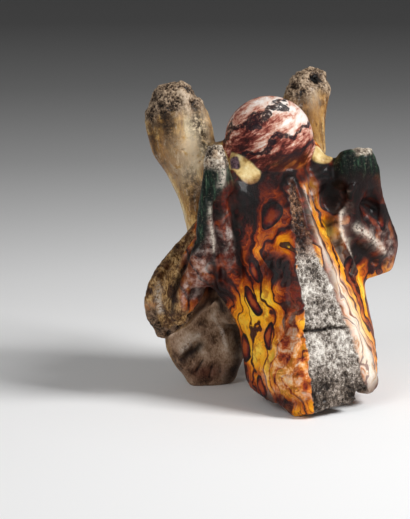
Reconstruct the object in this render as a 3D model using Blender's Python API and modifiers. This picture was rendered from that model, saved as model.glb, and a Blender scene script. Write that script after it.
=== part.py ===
"""Painted horse neck vertebra, standing on its tail end as a still model. Metres, +Z up, ventral side towards -Y.

The bone is modelled in its own frame in millimetres, with the centre of the round head at the origin, x to the
viewer's right of the ventral side, y dorsal and z towards the head end. to_floor() then leans it and stands it on
the floor. Its masses are lofts and ellipsoids that a voxel remesh fuses, hollows are carved from them, and thin
slits part the finished bone where an anatomist would name its parts. The viewer's left is the animal's right.
"""

import math

import bmesh
import bpy
import numpy as np
from mathutils import Euler, Matrix

MM = 0.001

# Pose of the bone on the floor
LEAN_DEG = 4.3
ROLL_DEG = -4.6
FLOOR_Z = -113.3
FOOTPRINT_X, FOOTPRINT_Y = 1.035, -5.065

# Driving sizes
HEAD_RADIUS = 19.6
CANAL_RADIUS = 10.5
CANAL_Y = 31.0
FORAMEN_RADIUS = 3.6
VOXEL = 1.1
SLIT = 0.3
BONE_TRIANGLES = 8600

# The animal's sides, as signs of x
RIGHT, LEFT = -1, 1
SIDES = {"right": RIGHT, "left": LEFT}

# Colour and roughness of each kind of surface
PAINT = (0.42, 0.16, 0.04), 0.25
RED_PAINT = (0.33, 0.09, 0.06), 0.2
BONE = (0.42, 0.29, 0.15), 0.6
DARK_BONE = (0.14, 0.09, 0.05), 0.8
SPONGY_BONE = (0.4, 0.36, 0.31), 0.9
LOOKS = {
    "head": RED_PAINT,
    "centrum": PAINT,
    "ventral_crest": SPONGY_BONE,
    "transverse_process_right": PAINT,
    "transverse_process_left": PAINT,
    "caudal_articular_process_right": DARK_BONE,
    "caudal_articular_process_left": DARK_BONE,
    "cranial_articular_process_right": BONE,
    "cranial_articular_process_left": BONE,
    "arch": BONE,
    "spinous_process": BONE,
}


def clear_scene():
    for obj in list(bpy.data.objects):
        bpy.data.objects.remove(obj)


def new_object(name, mesh, collection):
    obj = bpy.data.objects.new(name, mesh)
    collection.objects.link(obj)
    return obj


def sampled(stations, steps):
    """Catmull-Rom samples through rows of numbers, with the ends repeated."""
    rows = np.array(stations, float)
    padded = np.vstack([2 * rows[0] - rows[1], rows, 2 * rows[-1] - rows[-2]])
    found = []
    for i in range(len(rows) - 1):
        p0, p1, p2, p3 = padded[i : i + 4]
        for t in np.arange(steps) / steps:
            found.append(
                0.5 * (2 * p1 + (p2 - p0) * t + (2 * p0 - 5 * p1 + 4 * p2 - p3) * t**2
                       + (3 * p1 - p0 - 3 * p2 + p3) * t**3)
            )
    found.append(rows[-1])
    return np.array(found)


def loft(stations, side=LEFT, power=2.0, around=24, steps=5, cap=1.0):
    """A closed body through sections that each span from rail a to rail b. A station is (ax, ay, az, bx, by, bz, t),
    where t is half the thickness across the rails. Higher powers make the sections boxier."""
    rows = sampled(stations, steps)
    rows[:, [0, 3]] *= side
    a, b, t = rows[:, :3], rows[:, 3:6], rows[:, 6]
    centre, half = (a + b) / 2, np.linalg.norm(b - a, axis=1) / 2
    wide = (b - a) / (2 * half[:, None])
    along = np.gradient(centre, axis=0)
    along /= np.linalg.norm(along, axis=1)[:, None]
    thin = np.cross(along, wide)
    thin /= np.linalg.norm(thin, axis=1)[:, None]
    rings = [(centre[i], wide[i], thin[i], half[i], t[i]) for i in range(len(rows))]
    for end, direction in ((0, -1), (-1, 1)):
        turns = np.radians([25, 50, 72])
        caps = [
            (
                centre[end] + direction * along[end] * t[end] * cap * math.sin(turn),
                wide[end], thin[end],
                half[end] - min(t[end], half[end]) * (1 - math.cos(turn)),
                t[end] * math.cos(turn),
            )
            for turn in turns
        ]
        rings = caps[::-1] + rings if direction < 0 else rings + caps
    angle = np.linspace(0, 2 * math.pi, around, endpoint=False)
    c, s = np.cos(angle), np.sin(angle)
    c, s = (np.sign(v) * np.abs(v) ** (2 / power) for v in (c, s))
    bm = bmesh.new()
    loops = [
        [bm.verts.new(o + w * h * x + n * d * y) for x, y in zip(c, s)]
        for o, w, n, h, d in rings
    ]
    for low, high in zip(loops, loops[1:]):
        for i in range(around):
            j = (i + 1) % around
            bm.faces.new((low[i], low[j], high[j], high[i]))
    bm.faces.new(loops[0])
    bm.faces.new(loops[-1])
    bmesh.ops.recalc_face_normals(bm, faces=bm.faces)
    return bm


def tube(stations, side=LEFT, **more):
    """A round loft: a station is (x, y, z, radius)."""
    return loft([(x - r, y, z, x + r, y, z, r) for x, y, z, r in stations], side, **more)


def ellipsoid(centre, radii, turn=(0, 0, 0), side=LEFT):
    """An ellipsoid turned by Euler degrees about its centre."""
    bm = bmesh.new()
    bmesh.ops.create_uvsphere(bm, u_segments=40, v_segments=24, radius=1)
    rotation = Euler([math.radians(v) for v in turn]).to_matrix().to_4x4()
    matrix = Matrix.Translation(centre) @ rotation @ Matrix.Diagonal((*radii, 1))
    bmesh.ops.transform(bm, matrix=matrix, verts=bm.verts)
    if side == RIGHT:
        bmesh.ops.scale(bm, vec=(-1, 1, 1), verts=bm.verts)
        bmesh.ops.reverse_faces(bm, faces=bm.faces)
    return bm


def block(low, high, side=LEFT):
    """A hexahedron between two rectangles at z low[4] and high[4]. Each is (x0, x1, y0, y1, z)."""
    bm = bmesh.new()
    rings = []
    for x0, x1, y0, y1, z in (low, high):
        corners = ((x0, y0), (x1, y0), (x1, y1), (x0, y1))
        rings.append([bm.verts.new((side * x, y, z)) for x, y in corners])
    for i in range(4):
        j = (i + 1) % 4
        bm.faces.new((rings[0][i], rings[0][j], rings[1][j], rings[1][i]))
    bm.faces.new(rings[0])
    bm.faces.new(rings[1])
    bmesh.ops.recalc_face_normals(bm, faces=bm.faces)
    return bm


def merged(name, pieces, collection):
    """One object, in millimetres, that holds all these closed bodies."""
    whole = bmesh.new()
    for piece in pieces:
        mesh = bpy.data.meshes.new("piece")
        piece.to_mesh(mesh)
        piece.free()
        whole.from_mesh(mesh)
        bpy.data.meshes.remove(mesh)
    mesh = bpy.data.meshes.new(name)
    whole.to_mesh(mesh)
    whole.free()
    return new_object(name, mesh, collection)


def bake(obj):
    """Applies the object's modifiers."""
    graph = bpy.context.evaluated_depsgraph_get()
    mesh = bpy.data.meshes.new_from_object(obj.evaluated_get(graph))
    old = obj.data
    obj.modifiers.clear()
    obj.data = mesh
    bpy.data.meshes.remove(old)


def fuse(obj, voxel, smooth):
    """Voxel remesh, which joins overlapping bodies, and a smoothing that rounds where they meet."""
    remesh = obj.modifiers.new("fuse", "REMESH")
    remesh.mode = "VOXEL"
    remesh.voxel_size = voxel
    if smooth:
        soften = obj.modifiers.new("soften", "SMOOTH")
        soften.factor = 0.5
        soften.iterations = smooth
    bake(obj)


def boolean(obj, other, operation):
    cut = obj.modifiers.new("boolean", "BOOLEAN")
    cut.operation = operation
    cut.solver = "MANIFOLD"
    cut.object = other
    bake(obj)


def carve(obj, cutter):
    boolean(obj, cutter, "DIFFERENCE")
    bpy.data.objects.remove(cutter)


def body_masses():
    rows = [
        # z, centre x and y, half width, half depth
        (2, 0, 1, 15, 14),
        (-12, 0, 0, 16.5, 15),
        (-30, 0, -1, 18, 17),
        (-50, 1, -5, 23, 19),
        (-68, 1.5, -9, 27.5, 22),
        (-85, 1.5, -13, 29.5, 25),
        (-100, 1, -16, 29.5, 27),
        (-118, 0, -18, 28, 26),
    ]
    yield loft([(x - w, y, z, x + w, y, z, d) for z, x, y, w, d in rows], cap=0.1, around=40)
    floor = [(-10, 13, 10), (-40, 13, 11), (-70, 12, 12), (-92, 9, 13)]
    yield loft([(-w, y, z, w, y, z, 7) for z, y, w in floor], cap=0.4)


def crest_masses():
    rows = [
        # z, x and y of one edge of the flat front, x and y of the other
        (-19, -3, -20, 2, -19.5),
        (-30, -5, -25.5, 2, -24.5),
        (-46, -9.5, -33, 2, -31),
        (-62, -12.5, -38, 5, -35),
        (-78, -15, -42, 8.5, -38.5),
        (-95, -16.5, -45, 10, -41),
        (-118, -18, -49, 10, -45),
    ]
    deep = 9.0
    yield loft(
        [(lx, ly + deep, z, rx, ry + deep, z, deep) for z, lx, ly, rx, ry in rows],
        power=4.5, cap=0.1,
    )


def face_masses():
    """The painted front: level by level, the ventral surface from the plate on one side over the crest
    to the plate on the other."""
    levels = [
        # z, then x and y along the surface
        (-8, (-26, -9), (-21, -8), (-15, -8), (-9, -9), (-3, -10), (2, -10), (6, -9), (13, -8), (17, -8), (22, -9)),
        (-15, (-38, -17), (-29, -14), (-18, -13), (-9, -15), (-3, -17), (2, -17), (6, -15), (13, -11.5),
         (23, -14), (34, -15)),
        (-22, (-42, -18.5), (-31, -17), (-20, -15.5), (-10, -18), (-3.5, -21.5), (2, -21), (5.5, -18), (13, -13),
         (22, -15), (34, -16)),
        (-34, (-42, -16), (-32, -18), (-21, -17.5), (-12, -22), (-6, -27), (2, -25.5), (6, -21), (14, -14.5),
         (22, -15.5), (34, -15)),
        (-47, (-44, -12), (-34, -15), (-24, -20), (-16, -28.5), (-9.5, -33.5), (2, -31), (7, -27), (16, -19),
         (24, -14.5), (37, -11)),
        (-60, (-40, -6), (-33, -11), (-27, -22), (-19, -33), (-12.5, -38), (4.5, -35), (11, -30.5), (21, -21.5),
         (30, -14), (40, -8)),
        (-69, (-32, -3), (-30, -10), (-28, -22), (-20.5, -35), (-14, -40.5), (7, -37), (14, -32), (26, -22.5),
         (34, -12), (38, -3)),
        (-80, (-27, -5), (-28, -13), (-28.5, -23), (-22, -37), (-15.5, -43), (8.5, -39.5), (16.5, -34.5),
         (28, -24), (34, -13), (35, -5)),
        (-96, (-25, -10), (-27.5, -17), (-28, -27), (-23, -40), (-17, -46.5), (10, -42.5), (17.5, -37.5),
         (28.5, -26.5), (33, -17), (32, -9)),
        (-118, (-24, -12), (-26, -19), (-27.5, -29), (-23, -42), (-18, -49.5), (10, -45.5), (17, -40),
         (26.5, -28.5), (29, -19), (28, -12)),
    ]
    flat = [[z, *np.ravel(points)] for z, *points in levels]
    bm = bmesh.new()
    rings = []
    for z, *values in sampled(flat, 6):
        front = sampled(np.reshape(values, (-1, 2)), 4)
        back = [(14, -1), (-14, -1)]
        rings.append([bm.verts.new((x, y, z)) for x, y in [*front, *back]])
    for low, high in zip(rings, rings[1:]):
        for i in range(len(low)):
            j = (i + 1) % len(low)
            bm.faces.new((low[i], low[j], high[j], high[i]))
    bm.faces.new(rings[0])
    bm.faces.new(rings[-1])
    bmesh.ops.recalc_face_normals(bm, faces=bm.faces)
    yield bm


def rim_cutter():
    """Everything beyond the tilted rim of the tail end."""
    return block((-60, 60, -70, 60, -150), (-60, 60, -70, 60, -100))


def right_wing_masses():
    # The ventral plate, from the crumbled tip down to the front lobe
    yield loft([
        (31, -17.5, 0.5, 40, -19.5, 0.5, 4.2),
        (28.5, -16, -10, 42, -19, -10, 5.0),
        (22, -9, -23, 45, -17, -23, 5.5),
        (19, -6, -36, 46, -12.5, -36, 6.0),
        (20, -5, -47, 48, -8, -47, 6.5),
        (24, -5, -54, 48, -4, -56, 5.0),
    ], RIGHT, cap=0.7)
    # The grey lobe behind its lower edge
    yield loft([
        (30, -2, -40, 44, -1, -40, 6.0),
        (34, -1, -50, 52, 0, -50, 6.0),
        (38, 1, -60, 57, 1, -61, 5.5),
        (42, 3, -68, 57.5, 3, -69, 4.5),
        (47, 5, -73, 54, 5, -74, 3.5),
    ], RIGHT, cap=0.6)
    # The dorsal plate, which ends in the outer lobe
    yield loft([
        (18, 12, -31, 31, 14, -31, 5),
        (18, 13, -40, 42.5, 13, -40, 6.0),
        (20, 14, -50, 55.5, 12, -50, 6.0),
        (20, 15, -61, 63.5, 10, -61, 6.0),
        (28, 16, -70, 63, 11, -72, 5.5),
        (42, 17, -75, 58, 13, -79, 4.5),
    ], RIGHT)


def left_wing_masses():
    yield loft([
        (25, -15.5, -9.5, 41.5, -18, -10.5, 5.0),
        (22, -15, -20, 43.5, -19, -18, 5.0),
        (19, -14, -32, 45, -17, -30, 5.0),
        (19, -14, -44, 51, -12, -43, 5.5),
        (22, -13, -56, 55.5, -8, -54, 5.5),
        (27, -13, -66, 51.5, -8, -65, 4.5),
    ], LEFT, cap=0.4)
    yield loft([
        (18, 12, -28, 36, 10, -28, 5),
        (18, 12, -40, 50, 5, -40, 6.5),
        (20, 12, -52, 56, 3, -52, 7),
        (20, 13, -62, 54, 4, -61, 6.5),
        (24, 15, -72, 42, 8, -71, 5),
    ], LEFT)


def shoulder_masses(side):
    """The root of each transverse process, between the ventral plate, the body and the pedicle."""
    yield loft([
        (8, -7, -22, 27, -9, -21, 7),
        (9, 1, -17, 28, 1, -16, 9),
        (10, 11, -13, 28, 12, -12, 9),
        (12, 22, -15, 29, 24, -15, 8),
    ], side)
    yield loft([
        (12, 1, -24, 34, 1, -24, 13),
        (13, 2, -44, 36, 2, -42, 12),
        (14, 5, -59, 29, 6, -54, 9),
    ], side, cap=0.5)
    yield ellipsoid((15.5, 1, -10.5), (9, 13, 9.5), side=side)
    yield ellipsoid((17, 15, -7), (6.5, 9, 8), side=side)


def pedicle_masses(side):
    yield loft([
        (17, 6, -24, 20, 36, -26, 5.5),
        (18, 6, -44, 21, 38, -44, 6.0),
        (19, 6, -62, 22, 38, -62, 6.5),
        (19, 8, -76, 22, 38, -76, 6.0),
    ], side)


def cranial_process_masses():
    yield loft([
        (13, 26, -54, 30, 28, -54, 8),
        (13, 25, -40, 31, 28, -38, 8),
        (13, 25, -26, 33, 29, -24, 7.5),
        (13, 25, -14, 37, 31, -12, 7.5),
        (14, 25, -3, 41.5, 33, -3, 8),
        (15, 25, 7, 43, 34, 7, 8.5),
        (16.5, 26, 15, 43, 34, 15, 9),
        (21, 27, 22.5, 39, 33, 22.5, 8),
    ], RIGHT, power=2.5, cap=0.75)
    yield loft([
        (13, 26, -54, 30, 28, -54, 8),
        (13.5, 25, -40, 33, 28, -38, 8),
        (14.5, 25, -26, 38, 28, -24, 7.5),
        (15.5, 25, -14, 41.5, 28, -12, 7.0),
        (17, 26, -3, 43, 30, -3, 7.0),
        (20, 27, 6, 46, 32, 6, 7.5),
        (25, 28, 14, 49, 34, 14, 7.5),
        (30, 29, 20.5, 48, 34, 20.5, 7.0),
    ], LEFT, power=2.5, cap=0.8)


def caudal_process_masses(side, drop):
    yield loft([
        (14, 34, -54, 31, 38, -54, 7),
        (13, 30, -68, 39.5, 37, -68, 8),
        (9.5, 26.5, -80, 43.5, 36, -80, 8.5),
        (9, 26, -90, 44.5, 35.5, -90, 8.5),
        (10.5, 26, -98.5 - drop, 42, 34, -98.5 - drop, 8),
        (14, 27, -104.5 - drop, 38, 33, -104.5 - drop, 6.5),
    ], side, power=2.4)


def arch_masses():
    rows = [
        # z, centre y, half width, half depth
        (-26, 34, 20, 10),
        (-45, 35, 24, 11),
        (-65, 36, 25, 11.5),
        (-84, 37, 20, 9),
    ]
    yield loft([(-w, y, z, w, y, z, d) for z, y, w, d in rows], cap=0.3, around=40)
    ridge = [(-30, 42, 2.5), (-48, 44.5, 3.5), (-66, 46, 4.5), (-80, 45, 7)]
    yield loft([(-w, y, z, w, y, z, 6) for z, y, w in ridge])


def foot_masses():
    yield ellipsoid((-18, -39, -108), (8, 7, 8))
    yield ellipsoid((18, -33, -107), (6, 6.5, 7))


def canal_cutter():
    return tube([
        (0, CANAL_Y, 30, CANAL_RADIUS + 1.5),
        (0, CANAL_Y, -30, CANAL_RADIUS),
        (0, CANAL_Y, -60, CANAL_RADIUS),
        (0, CANAL_Y, -130, CANAL_RADIUS + 3),
    ])


def foramen_cutter(side):
    return tube([
        (23, 0, 12, FORAMEN_RADIUS),
        (23, 1, -10, FORAMEN_RADIUS),
        (25, 4, -45, FORAMEN_RADIUS),
        (27, 7, -75, FORAMEN_RADIUS + 0.6),
        (28, 8, -110, FORAMEN_RADIUS + 1),
    ], side)


def hollow_cutters():
    """The cup of the tail end, the notch in its rim, and the two shallow hollows of the left wing."""
    yield ellipsoid((-1, -13, -121), (21.5, 21, 24))
    yield ellipsoid((10.5, -41, -112.5), (4.5, 7, 4.5))
    yield ellipsoid((37, -31, -38), (9, 15, 17))
    yield ellipsoid((18, -30, -28), (11, 18.5, 13))


def bone_mesh(collection, voxel):
    finer = (1.1 / voxel) ** 2
    core = merged("bone", [*body_masses(), *crest_masses(), *face_masses()], collection)
    fuse(core, voxel, 0)
    rim = merged("rim", [rim_cutter()], collection)
    turn = Matrix.Rotation(math.radians(13), 4, "X")
    rim.data.transform(Matrix.Translation((0, -5, -104.5)) @ turn @ Matrix.Translation((0, 0, 100)))
    carve(core, rim)
    pieces = [*arch_masses(), *foot_masses(), *cranial_process_masses()]
    pieces += [*right_wing_masses(), *left_wing_masses()]
    pieces.append(ellipsoid((0, 0, 0), (HEAD_RADIUS, HEAD_RADIUS, HEAD_RADIUS * 0.97)))
    for side, drop in ((RIGHT, 0.3), (LEFT, 4.4)):
        pieces += [*shoulder_masses(side), *pedicle_masses(side), *caudal_process_masses(side, drop)]
    whole = bmesh.new()
    whole.from_mesh(core.data)
    bpy.data.objects.remove(core)
    bone = merged("bone", [whole, *pieces], collection)
    fuse(bone, voxel, round(8 * finer))
    cutters = [canal_cutter(), foramen_cutter(RIGHT), foramen_cutter(LEFT), *hollow_cutters()]
    for i, cutter in enumerate(cutters):
        carve(bone, merged(f"cutter_{i}", [cutter], collection))
    fuse(bone, voxel, round(3 * finer))
    return bone


def grown(body, distance):
    """A copy of a closed body with its surface moved outwards."""
    copy = body.copy()
    copy.normal_update()
    for v in copy.verts:
        v.co += v.normal * v.calc_shell_factor() * distance
    return copy


def regions():
    """Name and space of each named part, in the order they are cut off. What is left is the centrum."""
    yield "head", ellipsoid((0, 0, 0), (20.2, 20.2, 20.2))
    yield "ventral_crest", block((-21, 14, -60, -41, -119), (-7, 5, -30, -15.5, -14))
    for name, side in SIDES.items():
        yield f"cranial_articular_process_{name}", block((7, 60, 17.6, 60, -22), (7, 60, 17.6, 60, 40), side)
        yield f"caudal_articular_process_{name}", block((8, 60, 21.5, 60, -125), (8, 60, 21.5, 60, -64), side)
        yield f"transverse_process_{name}", block((31.5, 80, -32, 20, -81), (22.5, 80, -32, 17, 12), side)
    yield "spinous_process", block((-9, 9, 46, 60, -92), (-6, 6, 44, 60, -24))
    yield "arch", block((-34, 34, 21.5, 60, -98), (-34, 34, 21.5, 60, -10))


def to_floor():
    """From the bone's frame in millimetres to the library's in metres, with the footprint's centre at the origin."""
    return (
        Matrix.Scale(MM, 4)
        @ Matrix.Translation((-FOOTPRINT_X, -FOOTPRINT_Y, -FLOOR_Z))
        @ Matrix.Rotation(math.radians(ROLL_DEG), 4, "Y")
        @ Matrix.Rotation(math.radians(-LEAN_DEG), 4, "X")
    )


def lighter(obj, triangles):
    """Fewer triangles where the surface is plain."""
    fewer = obj.modifiers.new("lighter", "DECIMATE")
    fewer.ratio = triangles / (2 * len(obj.data.polygons))
    fewer.use_collapse_triangulate = True
    bake(obj)


def keep_largest(obj):
    """Leaves only the largest of an object's loose bodies."""
    bm = bmesh.new()
    bm.from_mesh(obj.data)
    left, bodies = set(bm.verts), []
    while left:
        body, edge = [], [left.pop()]
        while edge:
            vert = edge.pop()
            body.append(vert)
            near = {other for link in vert.link_edges for other in link.verts} & left
            left -= near
            edge += near
        bodies.append(body)
    bodies.sort(key=len)
    bmesh.ops.delete(bm, geom=sum(bodies[:-1], []), context="VERTS")
    bm.to_mesh(obj.data)
    bm.free()


def parted(bone, collection):
    """Cuts each region out of the bone as its own object, with a slit round it. The rest is the centrum."""
    for name, region in regions():
        slit = merged("slit", [grown(region, SLIT)], collection)
        space = merged("space", [region], collection)
        part = new_object(name, bone.data.copy(), collection)
        boolean(part, space, "INTERSECT")
        keep_largest(part)
        bpy.data.objects.remove(space)
        carve(bone, slit)
    keep_largest(bone)
    bone.name = "centrum"


def finish(obj, colour, roughness):
    material = bpy.data.materials.new(obj.name)
    material.use_nodes = True
    shader = material.node_tree.nodes["Principled BSDF"]
    shader.inputs["Base Color"].default_value = (*colour, 1)
    shader.inputs["Roughness"].default_value = roughness
    shader.inputs["Metallic"].default_value = 0
    obj.data.materials.clear()
    obj.data.materials.append(material)


def main():
    clear_scene()
    parts = bpy.data.collections.new("painted_vertebra")
    bpy.context.scene.collection.children.link(parts)
    bone = bone_mesh(parts, VOXEL)
    lighter(bone, BONE_TRIANGLES)
    parted(bone, parts)
    floor = merged("floor", [block((-200, 200, -200, 200, -100), (-200, 200, -200, 200, 0))], parts)
    floor.data.transform(Matrix.Scale(MM, 4))
    for obj in parts.objects:
        if obj == floor:
            continue
        obj.data.transform(to_floor())
        if min(v.co.z for v in obj.data.vertices) < 0:
            boolean(obj, floor, "DIFFERENCE")
    bpy.data.objects.remove(floor)
    base = new_object("vertebra_base", None, parts)
    for name, look in LOOKS.items():
        part = parts.objects[name]
        part.parent = base
        finish(part, *look)


main()
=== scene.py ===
"""Painted horse neck vertebra, dressed: one bone skin with its broken, porous and painted surfaces.

The skin repeats the shape functions of the CAD source, in the bone's frame in millimetres: the centre of
the round head is the origin, x is the viewer's right of the ventral side, y dorsal and z towards the head
end. The surface is then carved by named strokes and by noise. It carries its place in that frame, its
zones and its tints as attributes, from which the materials are mixed. The paintwork is a generic marbling.
"""

import itertools
import math

import bmesh
import bpy
import numpy as np
from mathutils import Euler, Matrix, Vector

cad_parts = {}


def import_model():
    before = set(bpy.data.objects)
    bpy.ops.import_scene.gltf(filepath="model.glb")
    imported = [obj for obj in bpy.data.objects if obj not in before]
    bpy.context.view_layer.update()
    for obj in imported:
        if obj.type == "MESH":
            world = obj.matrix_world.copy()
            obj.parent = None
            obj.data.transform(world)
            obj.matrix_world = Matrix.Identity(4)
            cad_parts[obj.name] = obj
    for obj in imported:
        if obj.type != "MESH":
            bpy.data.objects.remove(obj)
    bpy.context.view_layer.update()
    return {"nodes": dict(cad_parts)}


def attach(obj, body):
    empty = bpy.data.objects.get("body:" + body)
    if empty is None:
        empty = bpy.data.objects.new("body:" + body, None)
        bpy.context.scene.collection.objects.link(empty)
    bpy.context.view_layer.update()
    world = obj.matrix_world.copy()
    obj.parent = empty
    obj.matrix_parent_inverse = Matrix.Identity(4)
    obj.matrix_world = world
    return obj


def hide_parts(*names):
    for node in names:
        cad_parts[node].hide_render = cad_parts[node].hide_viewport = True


MM = 0.001

# Pose of the bone on the floor
LEAN_DEG = 4.3
ROLL_DEG = -4.6
FLOOR_Z = -113.3
FOOTPRINT_X, FOOTPRINT_Y = 1.035, -5.065

# Driving sizes
HEAD_RADIUS = 19.6
CANAL_RADIUS = 10.5
CANAL_Y = 31.0
FORAMEN_RADIUS = 3.6
VOXEL = 1.1

# The animal's sides, as signs of x
RIGHT, LEFT = -1, 1

# The photograph's camera: azimuth and elevation of the eye, distance and focal length in pixels
IMAGE = (410, 519)
EYE_AZIMUTH, EYE_ELEVATION = -27.72, 7.5
EYE_DISTANCE = 1.05
FOCAL = 2383.5
HEAD_PIXEL = (269, 139)

# The studio, in metres. Softboxes: degrees round from the camera, degrees up, distance, width and watts.
# They face a point this high.
SOFTBOXES = {"key": (70, 42, 1.1, 0.4, 13), "fill": (-35, 30, 1.4, 0.7, 6.3)}
LIT_HEIGHT = 0.06
WORLD_STRENGTH = 0.16
FLOOR_RADIUS = 8

# Millimetres: how wide a band of the marbling is, and how far strokes and drawn lines waver
BAND_WIDTH = 7.5
WAVER = 0.5

# Numbers of the skin's materials, in the order of FINISHES
PAINTED, BARE, BROKEN, HEAD = range(4)


def new_object(name, mesh, collection):
    obj = bpy.data.objects.new(name, mesh)
    collection.objects.link(obj)
    return obj


def sampled(stations, steps):
    """Catmull-Rom samples through rows of numbers, with the ends repeated."""
    rows = np.array(stations, float)
    padded = np.vstack([2 * rows[0] - rows[1], rows, 2 * rows[-1] - rows[-2]])
    found = []
    for i in range(len(rows) - 1):
        p0, p1, p2, p3 = padded[i : i + 4]
        for t in np.arange(steps) / steps:
            found.append(
                0.5 * (2 * p1 + (p2 - p0) * t + (2 * p0 - 5 * p1 + 4 * p2 - p3) * t**2
                       + (3 * p1 - p0 - 3 * p2 + p3) * t**3)
            )
    found.append(rows[-1])
    return np.array(found)


def loft(stations, side=LEFT, power=2.0, around=24, steps=5, cap=1.0):
    """A closed body through sections that each span from rail a to rail b. A station is
    (ax, ay, az, bx, by, bz, t), where t is half the thickness across the rails. Higher powers make the
    sections boxier."""
    rows = sampled(stations, steps)
    rows[:, [0, 3]] *= side
    a, b, t = rows[:, :3], rows[:, 3:6], rows[:, 6]
    centre, half = (a + b) / 2, np.linalg.norm(b - a, axis=1) / 2
    wide = (b - a) / (2 * half[:, None])
    along = np.gradient(centre, axis=0)
    along /= np.linalg.norm(along, axis=1)[:, None]
    thin = np.cross(along, wide)
    thin /= np.linalg.norm(thin, axis=1)[:, None]
    rings = [(centre[i], wide[i], thin[i], half[i], t[i]) for i in range(len(rows))]
    for end, direction in ((0, -1), (-1, 1)):
        turns = np.radians([25, 50, 72])
        caps = [
            (
                centre[end] + direction * along[end] * t[end] * cap * math.sin(turn),
                wide[end], thin[end],
                half[end] - min(t[end], half[end]) * (1 - math.cos(turn)),
                t[end] * math.cos(turn),
            )
            for turn in turns
        ]
        rings = caps[::-1] + rings if direction < 0 else rings + caps
    angle = np.linspace(0, 2 * math.pi, around, endpoint=False)
    c, s = np.cos(angle), np.sin(angle)
    c, s = (np.sign(v) * np.abs(v) ** (2 / power) for v in (c, s))
    bm = bmesh.new()
    loops = [
        [bm.verts.new(o + w * h * x + n * d * y) for x, y in zip(c, s)]
        for o, w, n, h, d in rings
    ]
    for low, high in zip(loops, loops[1:]):
        for i in range(around):
            j = (i + 1) % around
            bm.faces.new((low[i], low[j], high[j], high[i]))
    bm.faces.new(loops[0])
    bm.faces.new(loops[-1])
    bmesh.ops.recalc_face_normals(bm, faces=bm.faces)
    return bm


def tube(stations, side=LEFT, **more):
    """A round loft: a station is (x, y, z, radius)."""
    return loft([(x - r, y, z, x + r, y, z, r) for x, y, z, r in stations], side, **more)


def ellipsoid(centre, radii, turn=(0, 0, 0), side=LEFT):
    """An ellipsoid turned by Euler degrees about its centre."""
    bm = bmesh.new()
    bmesh.ops.create_uvsphere(bm, u_segments=40, v_segments=24, radius=1)
    rotation = Euler([math.radians(v) for v in turn]).to_matrix().to_4x4()
    matrix = Matrix.Translation(centre) @ rotation @ Matrix.Diagonal((*radii, 1))
    bmesh.ops.transform(bm, matrix=matrix, verts=bm.verts)
    if side == RIGHT:
        bmesh.ops.scale(bm, vec=(-1, 1, 1), verts=bm.verts)
        bmesh.ops.reverse_faces(bm, faces=bm.faces)
    return bm


def block(low, high, side=LEFT):
    """A hexahedron between two rectangles at z low[4] and high[4]. Each is (x0, x1, y0, y1, z)."""
    bm = bmesh.new()
    rings = []
    for x0, x1, y0, y1, z in (low, high):
        corners = ((x0, y0), (x1, y0), (x1, y1), (x0, y1))
        rings.append([bm.verts.new((side * x, y, z)) for x, y in corners])
    for i in range(4):
        j = (i + 1) % 4
        bm.faces.new((rings[0][i], rings[0][j], rings[1][j], rings[1][i]))
    bm.faces.new(rings[0])
    bm.faces.new(rings[1])
    bmesh.ops.recalc_face_normals(bm, faces=bm.faces)
    return bm


def merged(name, pieces, collection):
    """One object, in millimetres, that holds all these closed bodies."""
    whole = bmesh.new()
    for piece in pieces:
        mesh = bpy.data.meshes.new("piece")
        piece.to_mesh(mesh)
        piece.free()
        whole.from_mesh(mesh)
        bpy.data.meshes.remove(mesh)
    mesh = bpy.data.meshes.new(name)
    whole.to_mesh(mesh)
    whole.free()
    return new_object(name, mesh, collection)


def bake(obj):
    """Applies the object's modifiers."""
    graph = bpy.context.evaluated_depsgraph_get()
    mesh = bpy.data.meshes.new_from_object(obj.evaluated_get(graph))
    old = obj.data
    obj.modifiers.clear()
    obj.data = mesh
    bpy.data.meshes.remove(old)


def fuse(obj, voxel, smooth):
    """Voxel remesh, which joins overlapping bodies, and a smoothing that rounds where they meet."""
    remesh = obj.modifiers.new("fuse", "REMESH")
    remesh.mode = "VOXEL"
    remesh.voxel_size = voxel
    if smooth:
        soften = obj.modifiers.new("soften", "SMOOTH")
        soften.factor = 0.5
        soften.iterations = smooth
    bake(obj)


def boolean(obj, other, operation):
    cut = obj.modifiers.new("boolean", "BOOLEAN")
    cut.operation = operation
    cut.solver = "MANIFOLD"
    cut.object = other
    bake(obj)


def carve(obj, cutter):
    boolean(obj, cutter, "DIFFERENCE")
    bpy.data.objects.remove(cutter)


def body_masses():
    rows = [
        # z, centre x and y, half width, half depth
        (2, 0, 1, 15, 14),
        (-12, 0, 0, 16.5, 15),
        (-30, 0, -1, 18, 17),
        (-50, 1, -5, 23, 19),
        (-68, 1.5, -9, 27.5, 22),
        (-85, 1.5, -13, 29.5, 25),
        (-100, 1, -16, 29.5, 27),
        (-118, 0, -18, 28, 26),
    ]
    yield loft([(x - w, y, z, x + w, y, z, d) for z, x, y, w, d in rows], cap=0.1, around=40)
    floor = [(-10, 13, 10), (-40, 13, 11), (-70, 12, 12), (-92, 9, 13)]
    yield loft([(-w, y, z, w, y, z, 7) for z, y, w in floor], cap=0.4)


def crest_masses():
    rows = [
        # z, x and y of one edge of the flat front, x and y of the other
        (-19, -3, -20, 2, -19.5),
        (-30, -5, -25.5, 2, -24.5),
        (-46, -9.5, -33, 2, -31),
        (-62, -12.5, -38, 5, -35),
        (-78, -15, -42, 8.5, -38.5),
        (-95, -16.5, -45, 10, -41),
        (-118, -18, -49, 10, -45),
    ]
    deep = 9.0
    yield loft(
        [(lx, ly + deep, z, rx, ry + deep, z, deep) for z, lx, ly, rx, ry in rows],
        power=4.5, cap=0.1,
    )


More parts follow.
